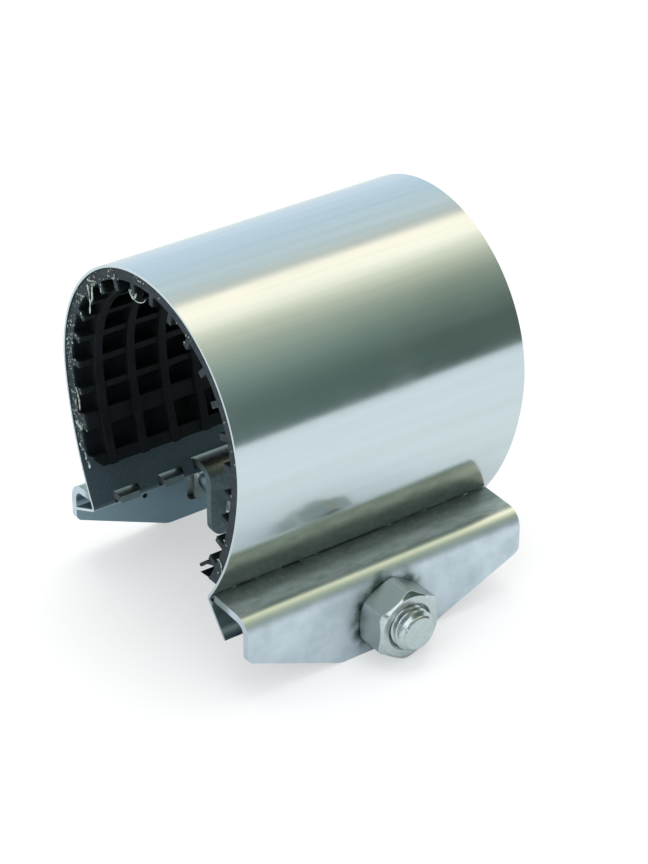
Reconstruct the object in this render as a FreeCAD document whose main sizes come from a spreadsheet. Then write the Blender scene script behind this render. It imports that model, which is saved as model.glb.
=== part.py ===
import FreeCAD, Part
import math
import os
import Sketcher

# Pipe repair coupling: a sprung stainless band with a waffle rubber mat inside, closed over a
# leaking pipe by one bolt through two lugs that hook into slots in the band.
# Frame: X from the anchor lug to the nut lug, Y along the pipe, Z up, origin on the pipe's axis
# at half the band's length.

doc = FreeCAD.newDocument("pipe_repair_coupling")
sheet = doc.addObject("Spreadsheet::Sheet", "Sizes")

# Driving sizes in millimetres and degrees: alias, value, what it is
driving = [
    ("band_length", 76.0, "band along the pipe, 3 in"),
    ("band_sheet", 0.6, "thickness of the band"),
    ("crown_radius", 34.3, "outer radius of the round part of the band"),
    ("leg_start", 5.0, "where the round part ends, below the horizontal"),
    ("nut_leg_radius", 60.0, "outer radius of the leg on the nut side"),
    ("nut_fold_drop", 33.6, "fold below the pipe's axis, nut side"),
    ("nut_return_fall", 51.0, "slope of the folded end, nut side"),
    ("nut_return_length", 9.3, "straight part of the folded end, nut side"),
    ("anchor_leg_radius", 88.0, "outer radius of the leg on the anchor side"),
    ("anchor_fold_drop", 35.3, "fold below the pipe's axis, anchor side"),
    ("anchor_return_fall", 23.0, "slope of the folded end, anchor side"),
    ("anchor_return_length", 7.8, "straight part of the folded end, anchor side"),
    ("fold_radius", 0.5, "inner radius of the band's folds"),
    ("bond_gap", 0.05, "adhesive between the band and the mat"),
    ("mat_inset", 0.3, "mat's side edges in from the band's"),
    ("mat_base", 2.6, "solid back of the mat"),
    ("rib_height", 3.0, "rings of the waffle above the back"),
    ("cross_step", 0.4, "how much lower the cross ribs are than the rings"),
    ("ring_width", 2.0, "width of a ring"),
    ("cross_width", 1.5, "width of a cross rib"),
    ("rib_root", 0.3, "depth that a rib is rooted in the back"),
    ("ring_pitch", 8.4, "ring to ring along the pipe"),
    ("ring_shift", 0.9, "middle ring from the mat's middle, as the mat is cut from a roll"),
    ("cross_pitch", 6.6, "cross rib to cross rib round the crests"),
    ("cross_shift", 2.1, "crown's top to the next cross rib towards the nut, round the crests"),
    ("broad_width", 3.9, "the broad cross rib on the anchor side"),
    ("broad_shift", 0.7, "how far the broad cross rib is off its place in the row"),
    ("nut_leg_ribs", 4, "cross ribs between the round part and the border, nut side"),
    ("anchor_leg_ribs", 1, "cross ribs between the round part and the broad one, anchor side"),
    ("rim_width", 3.0, "plain border at the mat's two ends"),
    ("nut_mat_drop", 31.2, "mat's end below the pipe's axis, nut side"),
    ("anchor_mat_drop", 24.5, "mat's end below the pipe's axis, anchor side"),
    ("mat_corner", 2.2, "cut corners of the mat's ends"),
    ("lug_sheet", 1.8, "thickness of the lugs"),
    ("lug_inset", 0.7, "lug's ends in from the band's side edges"),
    ("lug_bend", 4.2, "outer radius between a lug's plate and flange"),
    ("lug_drop", 53.6, "flange's lowest edge below the pipe's axis"),
    ("end_drop", 43.3, "flange's corner at the lug's ends below the pipe's axis"),
    ("lug_flat", 25.0, "length of the flange's lowest edge"),
    ("corner_round", 2.0, "rounding of a flange's corners"),
    ("knee_round", 5.0, "rounding where a flange's slope meets its lowest edge"),
    ("nut_flange_reach", 36.0, "outer face of the nut lug's flange from the middle"),
    ("nut_plate_drop", 32.7, "top of the nut lug's plate, at the band"),
    ("nut_plate_fall", 2.4, "slope of the nut lug's plate"),
    ("anchor_flange_reach", 35.0, "outer face of the anchor lug's flange from the middle"),
    ("anchor_plate_drop", 32.9, "top of the anchor lug's plate, at the band"),
    ("anchor_plate_fall", 5.0, "slope of the anchor lug's plate"),
    ("seat_gap", 0.1, "clearance between a lug's plate edge and the band"),
    ("hook_width", 5.2, "width of a small tongue"),
    ("hook_inner", 16.9, "inner pair of small tongues from the middle"),
    ("hook_outer", 28.9, "outer pair of small tongues from the middle"),
    ("hook_reach", 1.9, "how far a small tongue passes the band's face"),
    ("nut_hook_step", 0.1, "how far a small tongue is pressed down below the nut lug's plate"),
    ("anchor_hook_step", 1.0, "how far a small tongue is pressed down below the anchor lug's plate"),
    ("hook_slope", 2.2, "length of the step down to a small tongue"),
    ("tongue_width", 19.4, "width of the bolt tongue"),
    ("tongue_reach", 6.0, "inner face of the bolt tongue from the fold"),
    ("tongue_bend", 4.0, "outer radius of the bolt tongue's bend"),
    ("tongue_drop", 51.2, "bolt tongue's lowest edge below the pipe's axis"),
    ("tongue_round", 3.5, "rounding of the bolt tongue's corners"),
    ("slot_side", 0.8, "clearance at each side of a tongue in its slot"),
    ("slot_under", 0.1, "clearance under a tongue in its slot"),
    ("nut_slot_over", 0.25, "opening over a tongue in its slot, nut side"),
    ("anchor_slot_over", 0.6, "opening over a tongue in its slot, anchor side"),
    ("notch_side", 2.6, "clearance at each side of the bolt in the band's folded ends"),
    ("notch_over", 1.0, "clearance over the bolt in the band's folded ends"),
    ("bolt_drop", 44.4, "bolt's axis below the pipe's axis"),
    ("bolt_size", 9.8, "outer diameter of the M10 thread"),
    ("bolt_length", 82.5, "bolt under its head"),
    ("bolt_hole", 11.0, "clearance hole for the bolt"),
    ("tip_chamfer", 1.0, "chamfer of the bolt's tip"),
    ("head_diameter", 17.6, "bolt's head across"),
    ("head_height", 5.0, "bolt's head"),
    ("neck_width", 10.4, "flat-sided neck along the pipe"),
    ("neck_height", 9.9, "flat-sided neck, upright"),
    ("neck_length", 2.2, "flat-sided neck under the head"),
    ("neck_round", 1.0, "rounding of the neck's corners"),
    ("neck_side", 1.8, "clearance at each side of the neck in its oblong hole"),
    ("neck_hole_round", 2.0, "rounding of the oblong hole's corners"),
    ("neck_over", 0.25, "clearance over and under the neck"),
    ("nut_flats", 15.8, "nut across its flats"),
    ("nut_height", 8.0, "nut along the bolt"),
    ("nut_clearance", 0.05, "radial clearance of the nut on the thread's crests"),
    ("nut_face", 7.4, "radius of the nut's flat faces inside their chamfers"),
    ("nut_slope", 30.0, "slope of the nut's chamfers"),
    ("nut_sink", 0.6, "chamfer at the mouths of the nut's bore"),
    ("nut_turned", -2.0, "nut's turn from a corner straight up"),
]
for row, (alias, value, note) in enumerate(driving, start=1):
    sheet.set(f"A{row}", alias)
    sheet.set(f"B{row}", str(value))
    sheet.set(f"C{row}", note)
    sheet.setAlias(f"B{row}", alias)
doc.recompute()


class Size:
    # A size with its value and the expression that ties it to the sheet
    def __init__(self, value, text):
        self.value = value
        self.text = text

    def joined(self, other, sign, value):
        text = other.text if isinstance(other, Size) else repr(other)
        return Size(value, f"({self.text} {sign} {text})")

    def __add__(self, other):
        return self.joined(other, "+", self.value + number(other))

    def __sub__(self, other):
        return self.joined(other, "-", self.value - number(other))

    def __mul__(self, other):
        return self.joined(other, "*", self.value * number(other))

    def __truediv__(self, other):
        return self.joined(other, "/", self.value / number(other))

    def __neg__(self):
        return Size(-self.value, f"(0 - {self.text})")


def number(size):
    return size.value if isinstance(size, Size) else size


def cell(alias):
    return Size(float(sheet.get(alias)), f"Sizes.{alias}")


def sine(angle):
    return Size(math.sin(math.radians(angle.value)), f"sin({angle.text} * 1 deg)")


def cosine(angle):
    return Size(math.cos(math.radians(angle.value)), f"cos({angle.text} * 1 deg)")


def tangent(angle):
    return Size(math.tan(math.radians(angle.value)), f"tan({angle.text} * 1 deg)")


def root(size):
    return Size(math.sqrt(size.value), f"sqrt({size.text})")


def bind(thing, prop, size):
    if isinstance(size, Size):
        thing.setExpression(prop, size.text)
    setattr(thing, prop, number(size))


def point(x, y, z=0.0):
    return FreeCAD.Vector(x, y, z)


# Sketches and features

def new_body(label):
    body = doc.addObject("PartDesign::Body", label)
    body.Label = label
    return body


def new_sketch(body, name, role, spot=(0.0, 0.0, 0.0), turn=0.0):
    # A sketch on one of the body's own planes, moved and turned within it by plain numbers
    drawing = body.newObject("Sketcher::SketchObject", name)
    plane = next(o for o in body.Origin.OriginFeatures if o.Role == role)
    drawing.AttachmentSupport = [(plane, "")]
    drawing.MapMode = "FlatFace"
    rotation = FreeCAD.Rotation(point(0, 0, 1), turn)
    drawing.AttachmentOffset = FreeCAD.Placement(point(*spot), rotation)
    return drawing


def hold(drawing, name, kind, *where, size):
    # A dimension of a sketch, tied to the sheet
    unit = math.radians(size.value) if kind == "Angle" else size.value
    index = drawing.addConstraint(Sketcher.Constraint(kind, *where, unit))
    drawing.renameConstraint(index, name)
    text = f"{size.text} * 1 deg" if kind == "Angle" else size.text
    drawing.setExpression(f"Constraints.{name}", text)


def walk(start, heading, moves):
    # The lines and arcs of a path, each with its ends, its centre and its turn
    x, y = start
    pieces = []
    for move in moves:
        along = (math.cos(math.radians(heading)), math.sin(math.radians(heading)))
        if move[0] == "run":
            end = (x + move[1] * along[0], y + move[1] * along[1])
            pieces.append({"start": (x, y), "end": end, "turn": 0.0})
        else:
            radius, turn = move[1], move[2]
            side = 1.0 if turn > 0 else -1.0
            centre = (x - side * radius * along[1], y + side * radius * along[0])
            heading += turn
            new = (math.cos(math.radians(heading)), math.sin(math.radians(heading)))
            end = (centre[0] + side * radius * new[1], centre[1] - side * radius * new[0])
            pieces.append({"start": (x, y), "end": end, "turn": turn, "centre": centre,
                           "radius": radius})
        x, y = end
    return pieces


def draw_path(drawing, pieces):
    # Draws a walked path and joins its pieces smoothly. Gives each one's index and end numbers
    drawn = []
    for piece in pieces:
        if piece["turn"] == 0.0:
            shape = Part.LineSegment(point(*piece["start"]), point(*piece["end"]))
            drawn.append((drawing.addGeometry(shape), 1, 2))
            continue
        cx, cy = piece["centre"]
        first = math.atan2(piece["start"][1] - cy, piece["start"][0] - cx)
        last = math.atan2(piece["end"][1] - cy, piece["end"][0] - cx)
        forward = piece["turn"] > 0
        low, high = (first, last) if forward else (last, first)
        circle = Part.Circle(point(cx, cy), point(0, 0, 1), piece["radius"])
        index = drawing.addGeometry(Part.ArcOfCircle(circle, low, high))
        drawn.append((index, 1, 2) if forward else (index, 2, 1))
    for before, after in zip(drawn, drawn[1:]):
        drawing.addConstraint(
            Sketcher.Constraint("Tangent", before[0], before[2], after[0], after[1]))
    return drawn


def draw_sheet(drawing, start, heading, moves, thickness):
    # The closed section of a bent sheet: the path is its outer face, with the metal to the left
    outer = walk(start, heading, moves)
    thick = thickness.value
    left = math.radians(heading + 90)
    inner_start = (start[0] + thick * math.cos(left), start[1] + thick * math.sin(left))
    inner_moves = [move if move[0] == "run" else
                   ("bend", move[1] - math.copysign(thick, move[2]), move[2])
                   for move in moves]
    inner = walk(inner_start, heading, inner_moves)
    faces = draw_path(drawing, outer)
    backs = draw_path(drawing, inner)
    for face, back, piece in zip(faces, backs, outer):
        if piece["turn"] == 0.0:
            drawing.addConstraint(Sketcher.Constraint("Parallel", face[0], back[0]))
        else:
            drawing.addConstraint(Sketcher.Constraint("Coincident", face[0], 3, back[0], 3))
    ends = ((faces[0][0], faces[0][1], backs[0][0], backs[0][1], outer[0]["start"],
             inner[0]["start"]),
            (faces[-1][0], faces[-1][2], backs[-1][0], backs[-1][2], outer[-1]["end"],
             inner[-1]["end"]))
    for face, face_end, back, back_end, here, there in ends:
        cap = drawing.addGeometry(Part.LineSegment(point(*here), point(*there)))
        drawing.addConstraint(Sketcher.Constraint("Perpendicular", face, face_end, cap, 1))
        drawing.addConstraint(Sketcher.Constraint("Coincident", cap, 2, back, back_end))
        if here == outer[0]["start"]:
            hold(drawing, "thickness", "Distance", cap, size=thickness)
    return faces


def draw_rectangle(drawing, name, left, right, low, high):
    # An upright rectangle held by the distances of two corners from the sketch's origin
    x0, x1, y0, y1 = (number(side) for side in (left, right, low, high))
    corners = [point(x0, y0), point(x1, y0), point(x1, y1), point(x0, y1)]
    lines = [drawing.addGeometry(Part.LineSegment(a, b))
             for a, b in zip(corners, corners[1:] + corners[:1])]
    for before, after in zip(lines, lines[1:] + lines[:1]):
        drawing.addConstraint(Sketcher.Constraint("Coincident", before, 2, after, 1))
    for line, way in zip(lines, ("Horizontal", "Vertical", "Horizontal", "Vertical")):
        drawing.addConstraint(Sketcher.Constraint(way, line))
    hold(drawing, f"{name}_left", "DistanceX", -1, 1, lines[0], 1, size=left)
    hold(drawing, f"{name}_low", "DistanceY", -1, 1, lines[0], 1, size=low)
    hold(drawing, f"{name}_right", "DistanceX", -1, 1, lines[2], 1, size=right)
    hold(drawing, f"{name}_high", "DistanceY", -1, 1, lines[2], 1, size=high)
    return lines


def draw_circle(drawing, name, low, diameter):
    # A circle on the sketch's upright axis
    circle = Part.Circle(point(0, low.value), point(0, 0, 1), diameter.value / 2)
    index = drawing.addGeometry(circle)
    drawing.addConstraint(Sketcher.Constraint("PointOnObject", index, 3, -2))
    hold(drawing, f"{name}_height", "DistanceY", -1, 1, index, 3, size=low)
    hold(drawing, f"{name}_size", "Diameter", index, size=diameter)


def draw_polygon(drawing, name, corners):
    # A closed outline whose corners are held one by one
    spots = [point(number(x), number(y)) for x, y in corners]
    lines = [drawing.addGeometry(Part.LineSegment(a, b))
             for a, b in zip(spots, spots[1:] + spots[:1])]
    for before, after in zip(lines, lines[1:] + lines[:1]):
        drawing.addConstraint(Sketcher.Constraint("Coincident", before, 2, after, 1))
    for count, (line, (x, y)) in enumerate(zip(lines, corners)):
        hold(drawing, f"{name}_across_{count}", "DistanceX", -1, 1, line, 1, size=x)
        hold(drawing, f"{name}_up_{count}", "DistanceY", -1, 1, line, 1, size=y)


def pad(body, name, drawing, length, symmetric=True, backwards=False):
    feature = body.newObject("PartDesign::Pad", name)
    feature.Profile = drawing
    bind(feature, "Length", length)
    feature.SideType = "Symmetric" if symmetric else "One side"
    feature.Reversed = backwards
    doc.recompute()
    return feature


def pocket(body, name, drawing, backwards=False):
    # A cut from the sketch's plane right through what lies on one side of it
    before = body.Shape.Volume
    feature = body.newObject("PartDesign::Pocket", name)
    feature.Profile = drawing
    feature.Type = "ThroughAll"
    feature.Reversed = backwards
    doc.recompute()
    if not body.Shape.Volume < before:
        raise RuntimeError(f"{body.Label}: {name} cuts nothing")
    return feature


def groove(body, name, drawing):
    before = body.Shape.Volume
    feature = body.newObject("PartDesign::Groove", name)
    feature.Profile = drawing
    feature.ReferenceAxis = (drawing, ["H_Axis"])
    feature.Angle = 360
    doc.recompute()
    if not body.Shape.Volume < before:
        raise RuntimeError(f"{body.Label}: {name} cuts nothing")
    return feature


def edges_near(solid, spots, reach=0.05):
    # Names of the straight edges along X through any of these points of the YZ plane
    names = []
    for index, edge in enumerate(solid.Shape.Edges, start=1):
        ends = [vertex.Point for vertex in edge.Vertexes]
        if len(ends) < 2 or abs(ends[0].x - ends[1].x) < reach:
            continue
        for y, z in spots:
            if all(abs(end.y - y) < reach and abs(end.z - z) < reach for end in ends):
                names.append(f"Edge{index}")
    return names


def fillet(body, name, spots, radius):
    base = body.Tip
    names = edges_near(base, spots)
    feature = body.newObject("PartDesign::Fillet", name)
    feature.Base = (base, names)
    bind(feature, "Radius", radius)
    doc.recompute()
    return feature


# Sizes that both the band and what sits in it follow

sides = ("nut", "anchor")
mat_length = cell("band_length") - cell("mat_inset") * 2
lug_length = cell("band_length") - cell("lug_inset") * 2


def leg_centre(side):
    # Centre of a leg's arc, as if the leg lay on the +X side
    reach = cell("crown_radius") - cell(f"{side}_leg_radius")
    start = cell("leg_start")
    return reach * cosine(start), -(reach * sine(start))


def leg_reach(side, inset, drop):
    # Distance from the middle of a face that lies a given depth inside the leg, at a height
    cx, cy = leg_centre(side)
    radius = cell(f"{side}_leg_radius") - inset
    rise = drop + cy
    return cx + root(radius * radius - rise * rise)


def leg_sweep(side, inset, drop):
    # Angle of a leg from the round part to a height, in degrees
    cx, cy = leg_centre(side)
    radius = number(cell(f"{side}_leg_radius") - inset)
    low = math.degrees(math.asin((number(drop) + number(cy)) / radius))
    return low - number(cell("leg_start"))


no_inset = Size(0.0, "0")
# A cut runs this far past what it cuts
overcut = 1.0


def hoop_section(drawing, inset, thickness, ends):
    # A sheet round the pipe that ends on the two legs at the given drops, without folds
    start = cell("leg_start")
    radius = cell("crown_radius") - inset
    nut_sweep = leg_sweep("nut", inset, ends["nut"])
    anchor_sweep = leg_sweep("anchor", inset, ends["anchor"])
    first = (number(leg_reach("nut", inset, ends["nut"])), -number(ends["nut"]))
    moves = [
        ("bend", number(cell("nut_leg_radius") - inset), nut_sweep),
        ("bend", radius.value, 180 + 2 * start.value),
        ("bend", number(cell("anchor_leg_radius") - inset), anchor_sweep),
    ]
    heading = 90 - start.value - nut_sweep
    faces = draw_sheet(drawing, first, heading, moves, thickness)
    nut_leg, crown, anchor_leg = faces
    hold_hoop(drawing, crown, nut_leg, anchor_leg, inset)
    hold(drawing, "nut_end", "DistanceY", nut_leg[0], nut_leg[1], -1, 1, size=ends["nut"])
    hold(drawing, "anchor_end", "DistanceY", anchor_leg[0], anchor_leg[2], -1, 1,
         size=ends["anchor"])


def hold_hoop(drawing, crown, nut_leg, anchor_leg, inset):
    # The dimensions that every sheet round the pipe shares
    radius = cell("crown_radius") - inset
    drop = radius * sine(cell("leg_start"))
    drawing.addConstraint(Sketcher.Constraint("Coincident", crown[0], 3, -1, 1))
    hold(drawing, "crown_radius", "Radius", crown[0], size=radius)
    hold(drawing, "crown_nut_end", "DistanceY", crown[0], crown[1], -1, 1, size=drop)
    hold(drawing, "crown_anchor_end", "DistanceY", crown[0], crown[2], -1, 1, size=drop)
    for side, leg in (("nut", nut_leg), ("anchor", anchor_leg)):
        hold(drawing, f"{side}_leg", "Radius", leg[0],
             size=cell(f"{side}_leg_radius") - inset)


# The band

def hook_places():
    # Name and middle of each small tongue along the pipe
    places = []
    for name in ("inner", "outer"):
        places.append((f"{name}_back", cell(f"hook_{name}")))
        places.append((f"{name}_front", -cell(f"hook_{name}")))
    return places


def make_band():
    body = new_body("band")
    section = new_sketch(body, "band_section", "XZ_Plane")
    start = cell("leg_start").value
    nut_drop, anchor_drop = cell("nut_fold_drop"), cell("anchor_fold_drop")
    nut_sweep = leg_sweep("nut", no_inset, nut_drop)
    anchor_sweep = leg_sweep("anchor", no_inset, anchor_drop)
    fold = cell("fold_radius").value
    nut_fall = cell("nut_return_fall")
    anchor_fall = cell("anchor_return_fall")
    leg_heading = 90 - start - nut_sweep
    return_heading = 180 - nut_fall.value
    anchor_heading = 270 + start + anchor_sweep
    moves = [
        ("run", cell("nut_return_length").value),
        ("bend", fold, leg_heading - return_heading),
        ("bend", cell("nut_leg_radius").value, nut_sweep),
        ("bend", cell("crown_radius").value, 180 + 2 * start),
        ("bend", cell("anchor_leg_radius").value, anchor_sweep),
        ("bend", fold, 180 + anchor_fall.value - anchor_heading),
        ("run", cell("anchor_return_length").value),
    ]
    backwards = [moves[1], moves[0]]
    fold_end = (number(leg_reach("nut", no_inset, nut_drop)), -nut_drop.value)
    first = walk_back(fold_end, leg_heading, backwards)
    faces = draw_sheet(section, first, return_heading, moves, cell("band_sheet"))
    nut_return, nut_fold, nut_leg, crown, anchor_leg, anchor_fold, anchor_return = faces
    hold_hoop(section, crown, nut_leg, anchor_leg, no_inset)
    hold(section, "nut_fold_height", "DistanceY", nut_leg[0], nut_leg[1], -1, 1,
         size=nut_drop)
    hold(section, "anchor_fold_height", "DistanceY", anchor_leg[0], anchor_leg[2], -1, 1,
         size=anchor_drop)
    hold(section, "nut_fold", "Radius", nut_fold[0], size=cell("fold_radius"))
    hold(section, "anchor_fold", "Radius", anchor_fold[0], size=cell("fold_radius"))
    straight = Size(180.0, "180")
    hold(section, "nut_return_slope", "Angle", nut_return[0], size=straight - nut_fall)
    hold(section, "anchor_return_slope", "Angle", anchor_return[0],
         size=anchor_fall - straight)
    hold(section, "nut_return_run", "Distance", nut_return[0], size=cell("nut_return_length"))
    hold(section, "anchor_return_run", "Distance", anchor_return[0],
         size=cell("anchor_return_length"))
    pad(body, "band_sheet", section, cell("band_length"))
    for side in sides:
        slots = new_sketch(body, f"{side}_slots", "YZ_Plane")
        over = cell(f"{side}_plate_drop") - cell(f"{side}_slot_over")
        under = cell(f"{side}_plate_drop") + cell("lug_sheet") + cell("slot_under")
        half = cell("tongue_width") / 2 + cell("slot_side")
        draw_rectangle(slots, "bolt", -half, half, -under, -over)
        step = cell(f"{side}_hook_step")
        over, under = over + step, under + step
        half = cell("hook_width") / 2 + cell("slot_side")
        for name, middle in hook_places():
            draw_rectangle(slots, name, middle - half, middle + half, -under, -over)
        wide = cell("bolt_size") / 2 + cell("notch_side")
        high = cell("bolt_size") / 2 + cell("notch_over")
        lowest = cell("bolt_drop") + high
        draw_rectangle(slots, "notch", -wide, wide, -lowest, high - cell("bolt_drop"))
        pocket(body, f"{side}_slot_cut", slots, backwards=side == "nut")
    return body


def walk_back(end, heading, moves):
    # Where a path starts that ends here with this heading; the last move comes first
    x, y = end
    turned = heading + 180
    for move in moves:
        step = move if move[0] == "run" else ("bend", move[1], -move[2])
        piece = walk((x, y), turned, [step])[0]
        turned += 0.0 if step[0] == "run" else step[2]
        x, y = piece["end"]
    return x, y


# The mat

def cross_ribs(body, name, centre, first_angle, inner, outer, width, count=1, step=0.0):
    # Ribs along the pipe between two radii, repeated round a centre by a step in degrees
    drawing = new_sketch(body, f"{name}_section", "XZ_Plane", (centre[0], centre[1], 0),
                         first_angle)
    half = width / 2
    draw_rectangle(drawing, "rib", inner, outer, -half, half)
    rib = pad(body, name, drawing, mat_length)
    if count > 1:
        pattern = body.newObject("PartDesign::PolarPattern", f"{name}_row")
        pattern.Originals = [rib]
        pattern.Axis = (drawing, ["N_Axis"])
        pattern.Angle = abs(step) * (count - 1)
        pattern.Reversed = step < 0
        pattern.Occurrences = count
        body.Tip = pattern
        doc.recompute()


def make_mat():
    body = new_body("gasket")
    back_inset = cell("band_sheet") + cell("bond_gap")
    crest_inset = back_inset + cell("mat_base") + cell("rib_height")
    # The sheets run past the mat's ends, which are cut level afterwards
    spare = cell("mat_base") + cell("rib_height")
    ends = {side: cell(f"{side}_mat_drop") + spare for side in sides}
    section = new_sketch(body, "mat_section", "XZ_Plane")
    hoop_section(section, back_inset, cell("mat_base"), ends)
    pad(body, "mat_back", section, mat_length)

    ring_inset = back_inset + cell("mat_base") - cell("rib_root")
    ring_depth = cell("rib_height") + cell("rib_root")
    pitch = cell("ring_pitch").value
    shift = cell("ring_shift").value
    room = (mat_length.value - cell("ring_width").value) / 2
    behind = int((room - shift) / pitch)
    before = int((room + shift) / pitch)
    ring = new_sketch(body, "ring_section", "XZ_Plane", (0, 0, -(shift + behind * pitch)))
    hoop_section(ring, ring_inset, ring_depth, ends)
    ring_pad = pad(body, "ring", ring, cell("ring_width"))
    rings = body.newObject("PartDesign::LinearPattern", "rings")
    rings.Originals = [ring_pad]
    rings.Direction = (ring, ["N_Axis"])
    rings.Length = pitch * (behind + before)
    rings.Occurrences = behind + before + 1
    body.Tip = rings
    doc.recompute()

    # Cross ribs on the round part, from its end on the nut side to its end on the anchor side
    cross_inset = crest_inset - cell("cross_step")
    crest = number(cell("crown_radius") - crest_inset)
    cross_pitch = cell("cross_pitch").value
    shift = cell("cross_shift").value
    start = cell("leg_start").value
    arc = crest * math.radians(90 + start)
    nut_count = int((arc - shift) / cross_pitch)
    anchor_count = int((arc + shift) / cross_pitch)
    nut_last = shift + nut_count * cross_pitch
    anchor_last = anchor_count * cross_pitch - shift
    inner = cell("crown_radius") - cross_inset
    outer = cell("crown_radius") - ring_inset
    cross_ribs(body, "crown_ribs", (0.0, 0.0), 90 - math.degrees(nut_last / crest), inner,
               outer, cell("cross_width"), nut_count + anchor_count + 1,
               math.degrees(cross_pitch / crest))

    # Cross ribs on the legs, the broad one and the borders
    regular = {side: int(cell(f"{side}_leg_ribs").value) for side in sides}
    last = {"nut": nut_last, "anchor": anchor_last}
    for side, sign in (("nut", 1.0), ("anchor", -1.0)):
        cx, cy = (number(c) for c in leg_centre(side))
        leg_radius = cell(f"{side}_leg_radius")
        leg_crest = number(leg_radius - crest_inset)
        inner = leg_radius - cross_inset
        outer = leg_radius - ring_inset
        first = last[side] + cross_pitch - arc
        end = math.radians(leg_sweep(side, crest_inset, cell(f"{side}_mat_drop"))) * leg_crest
        rim = end - cell("rim_width").value / 2
        ribs = [("ribs", first, cell("cross_width"), regular[side]),
                ("rim", rim, cell("rim_width"), 1)]
        if side == "anchor":
            broad = first + regular[side] * cross_pitch + cell("broad_shift").value
            ribs.append(("broad_rib", broad, cell("broad_width"), 1))
        for name, place, width, count in ribs:
            angle = -(start + math.degrees(place / leg_crest))
            angle = angle if side == "nut" else 180 - angle
            cross_ribs(body, f"{side}_leg_{name}", (sign * cx, cy), angle, inner, outer, width,
                       count, -sign * math.degrees(cross_pitch / leg_crest))

    # Both ends are cut level, with the corners taken off
    half = mat_length / 2
    past_side = half + overcut
    for side in sides:
        drop = cell(f"{side}_mat_drop")
        past_end = drop + spare * 2
        corner = cell("mat_corner")
        cut = new_sketch(body, f"{side}_end_section", "YZ_Plane")
        draw_polygon(cut, "end", [(-past_side, -(drop - corner)), (-half, -(drop - corner)),
                                  (-(half - corner), -drop), (half - corner, -drop),
                                  (half, -(drop - corner)), (past_side, -(drop - corner)),
                                  (past_side, -past_end), (-past_side, -past_end)])
        pocket(body, f"{side}_end_cut", cut, backwards=side == "nut")
    return body


# The lugs

def plate_height(side, reach):
    # Height of the top of a lug's plate at a distance from the middle
    inner = leg_reach(side, no_inset, cell(f"{side}_plate_drop")) + cell("seat_gap")
    fall = tangent(cell(f"{side}_plate_fall"))
    return -(cell(f"{side}_plate_drop")) + (inner - reach) * fall, inner


def lug_section(body, side, name, tongue):
    # Section of a lug's flange and plate, with or without the bolt tongue at its inner end
    drawing = new_sketch(body, name, "XZ_Plane")
    face = cell(f"{side}_flange_reach")
    fall = cell(f"{side}_plate_fall")
    bend = cell("lug_bend")
    fold = leg_reach(side, no_inset, cell(f"{side}_fold_drop"))
    corner = face - bend + bend * sine(fall)
    corner_height, inner = plate_height(side, corner)
    rise = corner_height - bend * cosine(fall) + cell("lug_drop")
    moves = [("run", rise.value), ("bend", bend.value, 90 - fall.value)]
    if tongue:
        turn = cell("tongue_bend")
        tongue_face = fold - cell("tongue_reach")
        tip = tongue_face + turn + turn * sine(fall)
        tip_height, inner = plate_height(side, tip)
        depth = tip_height - turn * cosine(fall) + cell("tongue_drop")
    else:
        tip = inner
        tip_height = -cell(f"{side}_plate_drop")
    moves.append(("run", number(corner - tip) / math.cos(math.radians(fall.value))))
    if tongue:
        moves += [("bend", turn.value, 90 + fall.value), ("run", depth.value)]
    first = (face.value, -cell("lug_drop").value)
    faces = draw_sheet(drawing, first, 90, moves, cell("lug_sheet"))
    flange, outer_bend, plate = faces[:3]
    drawing.addConstraint(Sketcher.Constraint("Vertical", flange[0]))
    hold(drawing, "face", "DistanceX", -1, 1, flange[0], 1, size=face)
    hold(drawing, "bottom", "DistanceY", flange[0], 1, -1, 1, size=cell("lug_drop"))
    hold(drawing, "bend", "Radius", outer_bend[0], size=bend)
    hold(drawing, "slope", "Angle", plate[0], size=Size(180.0, "180") - fall)
    hold(drawing, "plate_end_drop", "DistanceY", plate[0], 2, -1, 1, size=-tip_height)
    if tongue:
        tongue_turn, tongue_leg = faces[3:]
        hold(drawing, "tongue_bend", "Radius", tongue_turn[0], size=turn)
        drawing.addConstraint(Sketcher.Constraint("Vertical", tongue_leg[0]))
        hold(drawing, "tongue_face", "DistanceX", -1, 1, tongue_leg[0], 2, size=tongue_face)
        hold(drawing, "tongue_end", "DistanceY", tongue_leg[0], 2, -1, 1,
             size=cell("tongue_drop"))
    else:
        hold(drawing, "plate_tip", "DistanceX", -1, 1, plate[0], 2, size=tip)
    return drawing


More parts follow.
